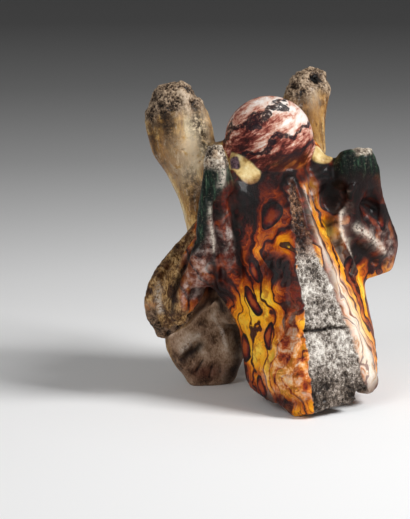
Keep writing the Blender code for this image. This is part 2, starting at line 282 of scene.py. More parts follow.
def face_masses():
    """The painted front: level by level, the ventral surface from the plate on one side over the crest
    to the plate on the other."""
    levels = [
        # z, then x and y along the surface
        (-8, (-26, -9), (-21, -8), (-15, -8), (-9, -9), (-3, -10), (2, -10), (6, -9), (13, -8), (17, -8),
         (22, -9)),
        (-15, (-38, -17), (-29, -14), (-18, -13), (-9, -15), (-3, -17), (2, -17), (6, -15), (13, -11.5),
         (23, -14), (34, -15)),
        (-22, (-42, -18.5), (-31, -17), (-20, -15.5), (-10, -18), (-3.5, -21.5), (2, -21), (5.5, -18),
         (13, -13),
         (22, -15), (34, -16)),
        (-34, (-42, -16), (-32, -18), (-21, -17.5), (-12, -22), (-6, -27), (2, -25.5), (6, -21), (14, -14.5),
         (22, -15.5), (34, -15)),
        (-47, (-44, -12), (-34, -15), (-24, -20), (-16, -28.5), (-9.5, -33.5), (2, -31), (7, -27), (16, -19),
         (24, -14.5), (37, -11)),
        (-60, (-40, -6), (-33, -11), (-27, -22), (-19, -33), (-12.5, -38), (4.5, -35), (11, -30.5),
         (21, -21.5),
         (30, -14), (40, -8)),
        (-69, (-32, -3), (-30, -10), (-28, -22), (-20.5, -35), (-14, -40.5), (7, -37), (14, -32), (26, -22.5),
         (34, -12), (38, -3)),
        (-80, (-27, -5), (-28, -13), (-28.5, -23), (-22, -37), (-15.5, -43), (8.5, -39.5), (16.5, -34.5),
         (28, -24), (34, -13), (35, -5)),
        (-96, (-25, -10), (-27.5, -17), (-28, -27), (-23, -40), (-17, -46.5), (10, -42.5), (17.5, -37.5),
         (28.5, -26.5), (33, -17), (32, -9)),
        (-118, (-24, -12), (-26, -19), (-27.5, -29), (-23, -42), (-18, -49.5), (10, -45.5), (17, -40),
         (26.5, -28.5), (29, -19), (28, -12)),
    ]
    flat = [[z, *np.ravel(points)] for z, *points in levels]
    bm = bmesh.new()
    rings = []
    for z, *values in sampled(flat, 6):
        front = sampled(np.reshape(values, (-1, 2)), 4)
        back = [(14, -1), (-14, -1)]
        rings.append([bm.verts.new((x, y, z)) for x, y in [*front, *back]])
    for low, high in zip(rings, rings[1:]):
        for i in range(len(low)):
            j = (i + 1) % len(low)
            bm.faces.new((low[i], low[j], high[j], high[i]))
    bm.faces.new(rings[0])
    bm.faces.new(rings[-1])
    bmesh.ops.recalc_face_normals(bm, faces=bm.faces)
    yield bm


def rim_cutter():
    """Everything beyond the tilted rim of the tail end."""
    return block((-60, 60, -70, 60, -150), (-60, 60, -70, 60, -100))


def right_wing_masses():
    # The ventral plate, from the crumbled tip down to the front lobe
    yield loft([
        (31, -17.5, 0.5, 40, -19.5, 0.5, 4.2),
        (28.5, -16, -10, 42, -19, -10, 5.0),
        (22, -9, -23, 45, -17, -23, 5.5),
        (19, -6, -36, 46, -12.5, -36, 6.0),
        (20, -5, -47, 48, -8, -47, 6.5),
        (24, -5, -54, 48, -4, -56, 5.0),
    ], RIGHT, cap=0.7)
    # The grey lobe behind its lower edge
    yield loft([
        (30, -2, -40, 44, -1, -40, 6.0),
        (34, -1, -50, 52, 0, -50, 6.0),
        (38, 1, -60, 57, 1, -61, 5.5),
        (42, 3, -68, 57.5, 3, -69, 4.5),
        (47, 5, -73, 54, 5, -74, 3.5),
    ], RIGHT, cap=0.6)
    # The dorsal plate, which ends in the outer lobe
    yield loft([
        (18, 12, -31, 31, 14, -31, 5),
        (18, 13, -40, 42.5, 13, -40, 6.0),
        (20, 14, -50, 55.5, 12, -50, 6.0),
        (20, 15, -61, 63.5, 10, -61, 6.0),
        (28, 16, -70, 63, 11, -72, 5.5),
        (42, 17, -75, 58, 13, -79, 4.5),
    ], RIGHT)


def left_wing_masses():
    yield loft([
        (25, -15.5, -9.5, 41.5, -18, -10.5, 5.0),
        (22, -15, -20, 43.5, -19, -18, 5.0),
        (19, -14, -32, 45, -17, -30, 5.0),
        (19, -14, -44, 51, -12, -43, 5.5),
        (22, -13, -56, 55.5, -8, -54, 5.5),
        (27, -13, -66, 51.5, -8, -65, 4.5),
    ], LEFT, cap=0.4)
    yield loft([
        (18, 12, -28, 36, 10, -28, 5),
        (18, 12, -40, 50, 5, -40, 6.5),
        (20, 12, -52, 56, 3, -52, 7),
        (20, 13, -62, 54, 4, -61, 6.5),
        (24, 15, -72, 42, 8, -71, 5),
    ], LEFT)


def shoulder_masses(side):
    """The root of each transverse process, between the ventral plate, the body and the pedicle."""
    yield loft([
        (8, -7, -22, 27, -9, -21, 7),
        (9, 1, -17, 28, 1, -16, 9),
        (10, 11, -13, 28, 12, -12, 9),
        (12, 22, -15, 29, 24, -15, 8),
    ], side)
    yield loft([
        (12, 1, -24, 34, 1, -24, 13),
        (13, 2, -44, 36, 2, -42, 12),
        (14, 5, -59, 29, 6, -54, 9),
    ], side, cap=0.5)
    yield ellipsoid((15.5, 1, -10.5), (9, 13, 9.5), side=side)
    yield ellipsoid((17, 15, -7), (6.5, 9, 8), side=side)


def pedicle_masses(side):
    yield loft([
        (17, 6, -24, 20, 36, -26, 5.5),
        (18, 6, -44, 21, 38, -44, 6.0),
        (19, 6, -62, 22, 38, -62, 6.5),
        (19, 8, -76, 22, 38, -76, 6.0),
    ], side)


def cranial_process_masses():
    yield loft([
        (13, 26, -54, 30, 28, -54, 8),
        (13, 25, -40, 31, 28, -38, 8),
        (13, 25, -26, 33, 29, -24, 7.5),
        (13, 25, -14, 37, 31, -12, 7.5),
        (14, 25, -3, 41.5, 33, -3, 8),
        (15, 25, 7, 43, 34, 7, 8.5),
        (16.5, 26, 15, 43, 34, 15, 9),
        (21, 27, 22.5, 39, 33, 22.5, 8),
    ], RIGHT, power=2.5, cap=0.75)
    yield loft([
        (13, 26, -54, 30, 28, -54, 8),
        (13.5, 25, -40, 33, 28, -38, 8),
        (14.5, 25, -26, 38, 28, -24, 7.5),
        (15.5, 25, -14, 41.5, 28, -12, 7.0),
        (17, 26, -3, 43, 30, -3, 7.0),
        (20, 27, 6, 46, 32, 6, 7.5),
        (25, 28, 14, 49, 34, 14, 7.5),
        (30, 29, 20.5, 48, 34, 20.5, 7.0),
    ], LEFT, power=2.5, cap=0.8)


def caudal_process_masses(side, drop):
    yield loft([
        (14, 34, -54, 31, 38, -54, 7),
        (13, 30, -68, 39.5, 37, -68, 8),
        (9.5, 26.5, -80, 43.5, 36, -80, 8.5),
        (9, 26, -90, 44.5, 35.5, -90, 8.5),
        (10.5, 26, -98.5 - drop, 42, 34, -98.5 - drop, 8),
        (14, 27, -104.5 - drop, 38, 33, -104.5 - drop, 6.5),
    ], side, power=2.4)


def arch_masses():
    rows = [
        # z, centre y, half width, half depth
        (-26, 34, 20, 10),
        (-45, 35, 24, 11),
        (-65, 36, 25, 11.5),
        (-84, 37, 20, 9),
    ]
    yield loft([(-w, y, z, w, y, z, d) for z, y, w, d in rows], cap=0.3, around=40)
    ridge = [(-30, 42, 2.5), (-48, 44.5, 3.5), (-66, 46, 4.5), (-80, 45, 7)]
    yield loft([(-w, y, z, w, y, z, 6) for z, y, w in ridge])


def foot_masses():
    yield ellipsoid((-18, -39, -108), (8, 7, 8))
    yield ellipsoid((18, -33, -107), (6, 6.5, 7))


def canal_cutter():
    return tube([
        (0, CANAL_Y, 30, CANAL_RADIUS + 1.5),
        (0, CANAL_Y, -30, CANAL_RADIUS),
        (0, CANAL_Y, -60, CANAL_RADIUS),
        (0, CANAL_Y, -130, CANAL_RADIUS + 3),
    ])


def foramen_cutter(side):
    return tube([
        (23, 0, 12, FORAMEN_RADIUS),
        (23, 1, -10, FORAMEN_RADIUS),
        (25, 4, -45, FORAMEN_RADIUS),
        (27, 7, -75, FORAMEN_RADIUS + 0.6),
        (28, 8, -110, FORAMEN_RADIUS + 1),
    ], side)


def hollow_cutters():
    """The cup of the tail end, the notch in its rim, and the two shallow hollows of the left wing."""
    yield ellipsoid((-1, -13, -121), (21.5, 21, 24))
    yield ellipsoid((10.5, -41, -112.5), (4.5, 7, 4.5))
    yield ellipsoid((37, -31, -38), (9, 15, 17))
    yield ellipsoid((18, -30, -28), (11, 18.5, 13))


def bone_mesh(collection, voxel):
    finer = (1.1 / voxel) ** 2
    core = merged("bone", [*body_masses(), *crest_masses(), *face_masses()], collection)
    fuse(core, voxel, 0)
    rim = merged("rim", [rim_cutter()], collection)
    turn = Matrix.Rotation(math.radians(13), 4, "X")
    rim.data.transform(Matrix.Translation((0, -5, -104.5)) @ turn @ Matrix.Translation((0, 0, 100)))
    carve(core, rim)
    pieces = [*arch_masses(), *foot_masses(), *cranial_process_masses()]
    pieces += [*right_wing_masses(), *left_wing_masses()]
    pieces.append(ellipsoid((0, 0, 0), (HEAD_RADIUS, HEAD_RADIUS, HEAD_RADIUS * 0.97)))
    for side, drop in ((RIGHT, 0.3), (LEFT, 4.4)):
        pieces += [*shoulder_masses(side), *pedicle_masses(side), *caudal_process_masses(side, drop)]
    whole = bmesh.new()
    whole.from_mesh(core.data)
    bpy.data.objects.remove(core)
    bone = merged("bone", [whole, *pieces], collection)
    fuse(bone, voxel, round(8 * finer))
    cutters = [canal_cutter(), foramen_cutter(RIGHT), foramen_cutter(LEFT), *hollow_cutters()]
    for i, cutter in enumerate(cutters):
        carve(bone, merged(f"cutter_{i}", [cutter], collection))
    fuse(bone, voxel, round(3 * finer))
    return bone


def to_floor():
    """From the bone's frame in millimetres to the library's in metres, over the footprint's centre."""
    return (
        Matrix.Scale(MM, 4)
        @ Matrix.Translation((-FOOTPRINT_X, -FOOTPRINT_Y, -FLOOR_Z))
        @ Matrix.Rotation(math.radians(ROLL_DEG), 4, "Y")
        @ Matrix.Rotation(math.radians(-LEAN_DEG), 4, "X")
    )


def lattice(cells, seed):
    """Random numbers from 0 to 1, one for each row of three whole numbers."""
    x, y, z = (cells[:, i].astype(np.int64) for i in range(3))
    mixed = (x * 374761393 + y * 668265263 + z * 1440662683 + seed * 974634777) & 0xFFFFFFFF
    mixed = ((mixed ^ (mixed >> 13)) * 1274126177) & 0xFFFFFFFF
    return ((mixed ^ (mixed >> 16)) & 0xFFFF) / 65535


def noise(points, size, seed=0, octaves=1):
    """Smooth noise from about -1 to 1. Its largest features are about this many millimetres apart."""
    total, weights = np.zeros(len(points)), 0
    for octave in range(octaves):
        p = points * (2**octave / np.array(size, float)) + 31.7 * octave
        cell = np.floor(p)
        f = p - cell
        f = f * f * (3 - 2 * f)
        value = 0
        for corner in itertools.product((0, 1), repeat=3):
            weight = np.prod(np.where(corner, f, 1 - f), axis=1)
            value = value + weight * lattice(cell + corner, seed + octave)
        total += (2 * value - 1) / 2**octave
        weights += 1 / 2**octave
    return total / weights


def pits(points, size, seed=0):
    """Distance to the nearest of scattered points, about this many millimetres apart, as a share of that."""
    p = points / np.array(size, float)
    base = np.floor(p)
    near = np.full(len(p), 9.0)
    for offset in itertools.product((-1, 0, 1), repeat=3):
        cell = base + offset
        centre = cell + np.stack([lattice(cell, seed + k) for k in range(3)], axis=1)
        near = np.minimum(near, np.linalg.norm(p - centre, axis=1))
    return near


def fade(value, low, high):
    """0 below low, 1 above high and smooth between. With low above high it falls instead."""
    t = np.clip((value - low) / (high - low), 0, 1)
    return t * t * (3 - 2 * t)


def reach(points, path):
    """Distance from each point to a line through these places."""
    path = np.array(path, float)
    near = np.full(len(points), 1e9)
    for a, b in zip(path, path[1:]):
        along = b - a
        t = np.clip((points - a) @ along / (along @ along), 0, 1)
        near = np.minimum(near, np.linalg.norm(points - a - t[:, None] * along, axis=1))
    return near


def hump(points, path, width):
    """1 on a line through these places, fading to 0 about this many millimetres from it."""
    return np.exp(-((reach(points, path) / width) ** 2))


def wavering(p, size, seed):
    """The points moved a little by noise, so that what is drawn from them isn't straight."""
    return p + WAVER * np.stack([noise(p, size, seed + k) for k in range(3)], axis=1)


def patch(p, centre, radii):
    """1 at a place, fading to 0 about this many millimetres from it."""
    return np.exp(-(((p - np.array(centre, float)) / np.array(radii, float)) ** 2).sum(axis=1))


def strip_edges(z):
    """x of the two edges of the broken crest strip at height z."""
    levels = [-118, -104, -90, -78, -62, -48, -38, -26, -18]
    return (
        np.interp(z, levels, [-18, -16.5, -15, -13.5, -11, -9, -7, -4, -2.5]),
        np.interp(z, levels, [16.5, 13, 10, 8.5, 5, 1.8, 0.3, 0.5, 0.5]),
    )


# Lines on the surface that zones follow
COLLAR = [(-20, 6, 0), (-20.5, -3, -4), (-19.5, -8, -8), (-17, -11.5, -12.5)]
SHOULDER = [(12, -6, -7), (16, -8.5, -8.5), (21, -10, -10)]
SPOT = [(-21.5, -6.8, -6), (-21.5, -8, -8.5)]
WING_EDGE = [(-43, -18, -6), (-45, -17, -19), (-45, -13, -27), (-44, -9, -37), (-43, -3, -42)]
LOBE_RIM = [(-62, 9, -70), (-59, 11, -77), (-53, 11, -80), (-48, 8, -76), (-46, 1, -71), (-40, 2, -67)]


def zones(p):
    """Weight, from 0 to 1, of each kind of surface at each point of the bone's frame."""
    x, y, z = p.T
    rough = noise(p, 5, 11, 3)
    fine = noise(p, 1.9, 12, 2)
    w = {"ball": fade(np.linalg.norm(p, axis=1), 20.9, 20.2)}
    off_ball = 1 - w["ball"]
    # Bone laid bare or broken open
    left, right = strip_edges(z)
    inside = np.minimum(x - left, right - x) + 0.8 * fine + 1.4 * rough + 1.6 * noise(p, 15, 13)
    w["strip"] = fade(inside, -0.2, 0.3) * fade(y, -18, -21) * off_ball
    collar = fade(reach(p, COLLAR) + 0.5 * rough, 5.2, 4.4)
    shoulder = fade(reach(p, SHOULDER) + 0.6 * rough, 4.4, 3.6)
    w["cream"] = off_ball * np.maximum(collar, shoulder)
    w["spot"] = w["cream"] * fade(reach(p, SPOT) + 0.3 * fine, 2.6, 1.9)
    bare = fade(y + 0.2 * np.maximum(z + 40, 0) + 2.5 * rough, 13, 17)
    behind = fade(y + 2 * rough, -6, 2) * fade(z, -70, -78)
    w["bare"] = off_ball * np.maximum(bare, behind)
    below = fade(z + 2 * rough, -62, -67) * fade(y + 0.3 * (z + 66), 6, 10)
    w["facet"] = below * fade(y + 2 * rough, 35, 30)
    outer = fade(y - 0.6 * (x + 53) + rough, -5, -2) * fade(x + rough, -34, -38)
    w["lobe"] = outer * fade(z, -32, -38) * (1 - w["facet"])
    # Dark green paint on the tips and the right wing's edge
    left_tip = fade(z + 0.6 * rough - 1.1 * np.minimum(x + 33, 0), -17, -12) * fade(x, -24, -27)
    right_tip = fade(z + 1.5 * rough + 0.25 * (x - 34), -24, -18) * fade(x + 0.5 * rough, 22.5, 24.5)
    edge = fade(reach(p, WING_EDGE) + 1.2 * rough, 6.5, 4.5)
    green = np.maximum(np.maximum(left_tip, right_tip), edge)
    w["green"] = fade(y, 0, -4) * off_ball * (1 - w["cream"]) * green
    # Crumbled tops, and the lobe's rim
    left_top = fade(z + 1.5 * fine + 0.3 * rough, -8, -5) * fade(x, -27, -30) * fade(y, -8, -12)
    right_level = z + 1.4 * fine + 0.8 * rough - 0.1 * (x - 40)
    right_top = fade(right_level, -10.8, -9.2) * fade(x, 30, 33) * fade(y, -5, -9)
    club_tops = fade(y, 14, 18) * fade(z + 4 * rough + 1.2 * fine, 9, 17)
    rim = fade(reach(p, LOBE_RIM) + fine, 3.6, 2.4)
    w["crumb"] = np.clip(left_top + right_top + club_tops + rim, 0, 1) * off_ball
    return w


# Ridges and grooves: half width, height, which is below 0 for a groove, and places, in millimetres
STROKES = [
    # Between the body and the right wing
    (2.6, 1.7, (-35.4, -19.3, -22.7), (-36, -17.8, -30), (-35.9, -16.7, -38), (-34, -13.9, -51),
     (-31.5, -11.9, -60)),
    (2, -2, (-29.7, -18, -20.7), (-29, -17.6, -28), (-29.4, -17.7, -37), (-29.2, -17.1, -46),
     (-29.3, -17.2, -55)),
    (2, 1.3, (-42, -19.3, -21.8), (-41, -17.3, -31), (-39.7, -14.7, -42), (-37.5, -11.3, -53),
     (-35, -9.2, -60)),
    (1.4, -1.5, (-38.9, -19.8, -22), (-38.3, -17.5, -31), (-37.3, -15.3, -42), (-34.8, -11.3, -57)),
    # Between the lobes of the right wing
    (2, -3.2, (-44.5, -9, -37), (-44.5, -4, -41), (-47.5, -3, -45), (-51, -3, -51), (-53.5, -1.5, -57),
     (-55, 1, -64)),
    (1.2, -1.3, (-43, -15, -35), (-42, -14, -42), (-39.5, -9.8, -54.7), (-35.5, -7, -62)),
    (2.6, 0.9, (-46, -10, -43), (-48, -6.4, -52), (-50, -4.3, -60), (-50, -2, -68)),
    (2.6, -1.8, (-46.6, -4.4, -60.5), (-47.5, -3.8, -63)),
    (1.6, 1, (-44, 12, -41), (-50.5, 9.7, -47.8), (-55, 9.3, -52), (-60, 9.9, -56)),
    (1.4, -0.9, (-52, 8, -51), (-57, 6.5, -59), (-59, 6.5, -67)),
    (1.3, -0.8, (-56, 4, -62), (-57.5, 5.5, -70), (-56.5, 8, -75)),
    # The tail-end facet of the right side
    (2.2, 1, (-45, 11.5, -77), (-37.6, 14, -71.5), (-30, 18, -72), (-24.5, 20, -77), (-21.5, 21.5, -85),
     (-21, 21.5, -94)),
    (1, 1.1, (-41.1, 27.6, -93.3), (-38.1, 25.6, -90), (-34.6, 24.1, -88.6)),
    (1.6, -1.5, (-39.5, 26.3, -95), (-37, 25, -92.5), (-34, 24, -91)),
    (0.8, -1.2, (-35.2, 25.3, -102), (-32.5, 23.4, -97)),
    (0.8, -1, (-29.5, 24.4, -105.6), (-28.6, 22.7, -100)),
    (0.8, -1, (-39, 26.5, -100), (-35.9, 24.6, -96.6)),
    (0.7, -0.8, (-24.5, 23, -104), (-25, 22.3, -99)),
    # The left wing: rim of the first hollow, the fold beside it and the bulges on it
    (2.2, 0.8, (17.6, -12.5, -16.5), (12.7, -12.8, -17.6), (7.5, -15.7, -20), (4.5, -20, -25),
     (3.4, -22.5, -31), (3, -26, -38), (4.4, -29.5, -48), (7, -32.5, -60), (9.5, -36, -74), (12, -39, -88)),
    (1.6, 2, (28, -20.7, -24), (25.5, -19.4, -28), (23.2, -18.2, -32), (21.5, -16.8, -36.5),
     (21, -16.4, -42), (22.7, -16.5, -49.6), (25, -16.4, -55.5), (26, -18, -62)),
    (2.4, -2.2, (23.5, -18, -27), (20.5, -16.5, -33), (18, -16, -38), (18, -17, -46), (20, -18, -54),
     (22, -20, -62)),
    (2.6, 1.7, (28.4, -18.2, -43), (32.8, -18, -46.5), (38, -16.9, -50.6), (43, -15.4, -56)),
    (2.4, -2.2, (33.5, -17.3, -33), (37, -16.8, -33.5), (41, -17.5, -37), (41.5, -17, -41)),
    (2, -1.7, (29, -17.5, -51), (33, -16.5, -55), (38, -15.5, -59)),
    (2, 1.2, (36.5, -16.5, -41), (39.5, -16.5, -45)),
    # The ridge between the green face and the side of the right tip, and the flutes below it
    (1.1, 0.9, (-36, -21.7, -1), (-37.5, -21.5, -8), (-40, -20.2, -17), (-42, -18.5, -24)),
    (1.6, -0.7, (-32, -20, -5), (-33, -19.8, -14)),
    # The upper process of the right side: the ridge beside its strip of painted sheen, and a hollow
    (1.6, 0.8, (-29, 22.3, 24), (-28, 20.5, 16.5), (-27.4, 19.7, 9), (-26.8, 19.6, 1), (-27, 19.3, -8)),
    (2, -0.8, (-24.4, 20.5, 18), (-23.4, 20, 9), (-22.5, 20, 0)),
    (3.2, -1.1, (-38.7, 24.2, 15), (-38.4, 24.3, 6), (-37, 24.5, -3)),
    (3.4, 0.7, (-32, 21.5, 12), (-32, 21.5, 2), (-31, 21.5, -10)),
    # The same of the left side
    (2.2, -0.9, (31, 24.8, 16), (30, 23.5, 8), (30, 22.5, 0)),
    (2.4, 0.7, (36, 23, 14), (36.5, 22.6, 4), (36, 22.5, -8)),
    (2, -2.4, (38.5, 25, 21.8), (40, 25.2, 20.8)),
    # Cracks over the broken strip, and its sunken head
    (0.7, -1.3, (-14.2, -42.6, -78.5), (-8.8, -42.5, -79.6), (-2.7, -41.8, -79.8), (4.9, -40.4, -80.8),
     (8, -39.3, -81.2)),
    (2.4, -0.5, (-1, -21.5, -20), (-1, -25, -28), (-3.5, -28.5, -36), (-4.5, -31, -44)),
]


def sculpt(p, w):
    """How far each point moves outwards, in millimetres."""
    wavy = wavering(p, 4, 40)
    off_ball = 1 - w["ball"]
    height = 0.2 * noise(p, 8, 21, 3) + 0.16 * noise(p, 2.6, 20, 2) * off_ball
    for width, rise, *path in STROKES:
        height += rise * hump(wavy, path, width) * off_ball
    holes = pits(p, (1.5, 1.5, 1.9), 22)
    spongy = 0.7 * (fade(holes, 0.2, 0.75) - 0.5) + 0.4 * noise(p, 4.5, 23, 2) + 0.35 * noise(p, 1.1, 24)
    height += w["strip"] * (spongy - 0.8)
    pores = fade(pits(p, (1.3, 1.3, 1.6), 25), 0.1, 0.5) - 1
    height += w["crumb"] * (0.8 * pores + 1.1 * noise(p, 3.2, 26, 2) + 0.3 * noise(p, 1.2, 19))
    streaks = noise(p, (1.6, 1.6, 7), 27, 2)
    height += 0.28 * streaks * np.maximum(w["lobe"], 0.6 * w["facet"])
    scattered = fade(pits(p, 4.2, 28), 0.24, 0.12) * fade(noise(p, 14, 29), 0.05, 0.35)
    height -= 0.7 * scattered * np.maximum(w["bare"], w["lobe"])
    chipped = fade(p[:, 2] + 6 * noise(p, 9, 18), -84, -92) * (1 - w["strip"]) * fade(p[:, 1], -12, -18)
    return height + 0.5 * chipped * noise(p, 2.4, 17, 2)


# Knots in the marbling: place across and along the painted face, and half widths
KNOTS = [
    (-9, -31, 3.2, 6), (-14, -53, 2.6, 5), (-22, -66, 3.8, 7),
    (-12, -80, 2.8, 6), (-27, -88, 3, 7), (-18, -103, 3.4, 5.5),
    (19, -60, 2.6, 6), (27, -80, 3, 8), (30, -40, 3, 5),
]


def marbling(p):
    """The line of the marbling that each point lies on, in millimetres across the painted face, how far
    inside a knot it is, from 0 at the knot's edge to 1, and its place along the lines."""
    x, y, z = p.T
    side = np.tanh(x / 8)
    across = 0.72 * x + 0.69 * (y + 22) * side
    along = z + 2 * noise(p, 15, 32)
    across = across + 3.0 * np.sin(z / 11 + 0.08 * x) + 7 * noise(p, 24, 31) + 2.6 * noise(p, 9, 33)
    flow, knot = across.copy(), np.zeros(len(p))
    for s, t, a, b in KNOTS:
        u, v = (across - s) / a, (along - t) / b
        r = np.maximum(u * u + v * v, 1e-6)
        flow -= a * u / np.maximum(r, 1) * np.exp(-np.maximum(r - 1, 0) / 9)
        knot = np.maximum(knot, 1 - np.sqrt(r))
    return flow, np.maximum(knot, 0), along


# Thin dark and light lines along the forms: half width and places, in millimetres. The dark ones are partly
# dark paint and partly painted shade in grooves, in creases between the lobes, under the right wing, and in
# the hollows and on the shaded side of the right tail-end facet.
DARK_LINES_AND_CREASE_SHADE = [
    (1.3, (-45.7, -12, -39), (-48.1, -4.1, -47), (-52, -3.3, -54.2), (-54.8, -2.1, -62.7),
     (-55.6, -0.2, -68.1)),
    (0.7, (-44, 11, -41), (-50.5, 8.5, -47.8), (-55, 8, -52)),
    (2.6, (-48, 6, -77), (-44, 8, -75), (-38, 9, -71), (-33, 10, -67.5), (-27, 13, -69), (-22, 16, -76),
     (-18, 20, -84)),
    (3.8, (-21, 16, -77.5), (-17, 20, -84), (-15.5, 22, -92), (-16.5, 22.5, -100), (-20, 25, -107)),
    (2, (-41, 27.2, -95.5), (-37.5, 25.4, -93), (-33, 24, -90)),
    (0.5, (-35.2, 25.3, -102), (-32.5, 23.4, -97)),
    (0.5, (-29.5, 24.4, -105.6), (-28.6, 22.7, -100)),
    (0.4, (-24.5, 23, -104), (-25, 22.3, -99)),
    (1.3, (-39.5, -13.1, -47.4), (-37.5, -9.9, -56), (-34.3, -7.5, -63.4)),
    (3, (-39, 4, -62), (-34, 7, -62), (-29, 8, -66)),
    (0.6, (-40.5, -17.5, -31), (-39.3, -14.9, -41), (-38, -12, -50)),
    (1.7, (31, -20.5, -28), (34, -17.8, -31.5), (38, -17, -33), (42, -17.8, -36), (44.5, -17, -41)),
    (1.1, (30.5, -19.5, -33), (29.5, -19.2, -38), (28.5, -18.6, -44)),
    (1.5, (29, -17.2, -51.5), (33, -16.5, -55), (38, -15.5, -59), (44, -14, -61)),
    (1.2, (21.5, -17.2, -44), (20.6, -17, -50), (22.5, -18, -57)),
    (1, (14.5, -16, -37.5), (18, -16, -39.5), (20.5, -16.5, -39)),
    (4.2, (31, -21, -21), (37, -21.5, -24), (43, -20, -28)),
    (1.8, (46, -17, -36), (50, -14, -44), (52, -12, -51)),
]
# Light lines: partly pale paint, partly painted highlights on the rims of the right tail-end facet and on
# ridges of the wings
PALE_RIMS_AND_HIGHLIGHTS = [
    (1.3, (-40.6, 27, -91.2), (-38.5, 26, -88.6), (-36.6, 25.1, -86.9), (-33.4, 24, -85.6)),
    (0.8, (-37.5, 11.5, -72), (-33, 16, -72.5), (-27.5, 20, -76), (-22.9, 21.2, -84), (-21.7, 21.4, -91.6)),
    (1.3, (-57, 6.7, -56), (-58.5, 6.7, -62), (-58, 7, -68)),
    (0.8, (-41.3, -19, -21), (-40.7, -17, -31), (-39.4, -14.4, -42)),
    (0.8, (26.2, -19.8, -26), (24, -18.8, -31.5), (22.4, -17.4, -36), (22, -17, -42), (23.6, -17, -48.5),
     (25.6, -17, -54), (27, -18.4, -60)),
    (1.6, (29, -18.4, -42.5), (33, -18.4, -46), (38, -17.2, -50), (43, -15.8, -55.5)),
    (1.3, (5.5, -18.5, -21.5), (5, -20.5, -27), (7.5, -18.5, -31)),
    (1.8, (-33.5, -21.6, -5), (-35.5, -21.3, -13)),
]

# Where the paint is dark, pale, grey and so on, and where shade and highlights are painted: place and half
# widths in millimetres
TINTS = {
    # Black: dark paint, with painted shade under the round head, under the right wing, in the left wing's
    # first hollow and low on the right tail-end facet
    "black": [
        (37, -21, -23, 8, 6, 6), (39, -17, -33, 6, 5, 2.6), (48, -14, -35, 5, 6, 9),
        (18.5, -15, -21, 5, 6, 6), (21, -16, -29, 3.5, 5, 8), (-32, 4, -66, 8, 8, 4.5),
        (-38, -10, -60, 5, 5, 3), (27, -17, -52, 2.6, 5, 3), (-2, -18, -17, 18, 9, 3),
        (-21, -15, -19, 7, 6, 4), (-4, -29.5, -41, 6, 6, 6), (-32, 24, -103, 14, 7, 6),
        (-45, 22, -92, 4, 8, 9), (-19, -26, -51, 4, 6, 4),
    ],
    # Dark: dark paint, with painted shade under the round head and on its lower front, under the right wing
    # and in the left wing's first hollow
    "dark": [
        (4, -18, -10, 16, 8, 7), (-18, -8, 0, 4, 8, 9), (0, -18, -15, 26, 9, 5), (-22, -16, -24, 5, 9, 8),
        (-13, -20, -27, 8, 9, 9), (-28.5, -18, -38, 1.6, 5, 12), (-18, -29, -53, 6, 8, 7),
        (-38.5, -19, -25, 3.5, 5, 6), (44, -18, -31, 5, 8, 6), (-33, -3, -62, 9, 7, 4),
        (47, -12, -38, 7, 10, 12), (52, -6, -52, 5, 8, 8), (22, -14, -25, 7, 8, 12),
        (34, -18, -24, 14, 10, 6), (36, -17, -33, 9, 10, 8), (30, -17, -54, 8, 8, 5), (40, -15, -60, 7, 8, 5),
        (-24, -36, -108, 9, 14, 3), (24, -33, -111, 14, 14, 4),
    ],
    # Pale: the first two patches are a painted highlight on the upper front of the round head, the rest pale
    # paint
    "pale": [
        (7, -13, 10, 11, 9, 9), (2, -8, 19, 10, 9, 5), (5.5, -28, -42, 2.5, 6, 16),
        (10, -34, -62, 3.5, 7, 16), (14, -37, -84, 5.5, 8, 18), (17, -36, -102, 7, 9, 12),
        (22, -18, -48, 3, 6, 10),
    ],
    "grey": [
        (11, -15, -24, 4.5, 8, 9), (24, -18, -33, 3, 6, 9), (-41, -15, -40, 4, 8, 10),
        (-46, -9, -46, 5, 6, 7), (-48, -5, -58, 9, 9, 14), (40, -14, -49, 8, 8, 7), (48, -13, -57, 6, 8, 8),
        (-32.5, -17, -36, 3.5, 6, 12),
    ],
    "amber": [
        (-25, -24, -68, 5, 10, 9), (-28, -16, -74, 5, 12, 18), (-27, -26, -84, 5, 14, 14),
        (-12, -30, -42, 4, 8, 6), (28, -20, -70, 2.5, 6, 8), (17, -20, -42, 5, 8, 4),
    ],
    "mottled": [
        (-18, -40, -88, 9, 9, 12), (-14, -42, -100, 10, 10, 9), (-22, -36, -98, 8, 9, 10),
    ],
    "worn": [
        (-38, 25, 19, 5, 6, 7), (-37, 24, 10, 3.5, 6, 9), (-26, 20, 10, 3, 6, 5), (-22, 20, 2, 3, 9, 16),
        (-44, 24, 8, 3, 9, 14), (39, 25, 21, 5, 5, 5), (33, 26, 18, 5, 6, 6), (-30, 20, -18, 4, 8, 9),
        (0, 44, -60, 10, 9, 18), (0, 46, -80, 16, 9, 8),
    ],
    # Painted sheen: light cream streaks on the upper processes
    "painted_sheen": [
        (-28, 21, 20, 3, 6, 6), (-27, 20, 8, 3, 5, 9), (-26, 20, -6, 4, 6, 10), (-33, 22, -6, 6, 6, 12),
        (-22, 19, 8, 4, 8, 12), (36, 26, 16, 4, 6, 8),
    ],
    "yellow": [
        (34, 22, 2, 9, 9, 14), (28, 16, -10, 8, 9, 8), (-36, 24, -6, 6, 8, 10),
    ],
    "rusty": [
        (4, -15, -11, 9, 7, 3.5),
    ],
}


def paint_layers(p):
    """What the materials read at each point besides its zones."""
    layers = {}
    for name, spots in TINTS.items():
        layers[name] = np.clip(sum(patch(p, spot[:3], spot[3:]) for spot in spots), 0, 1)
    wavy = wavering(p, 3, 50)
    for name, lines in (("dark_lines_and_crease_shade", DARK_LINES_AND_CREASE_SHADE), ("pale_rims_and_highlights", PALE_RIMS_AND_HIGHLIGHTS)):
        layers[name] = np.max([hump(wavy, path, width) for width, *path in lines], axis=0)
    layers["flow"], layers["knot"], layers["along"] = marbling(p)
    return layers


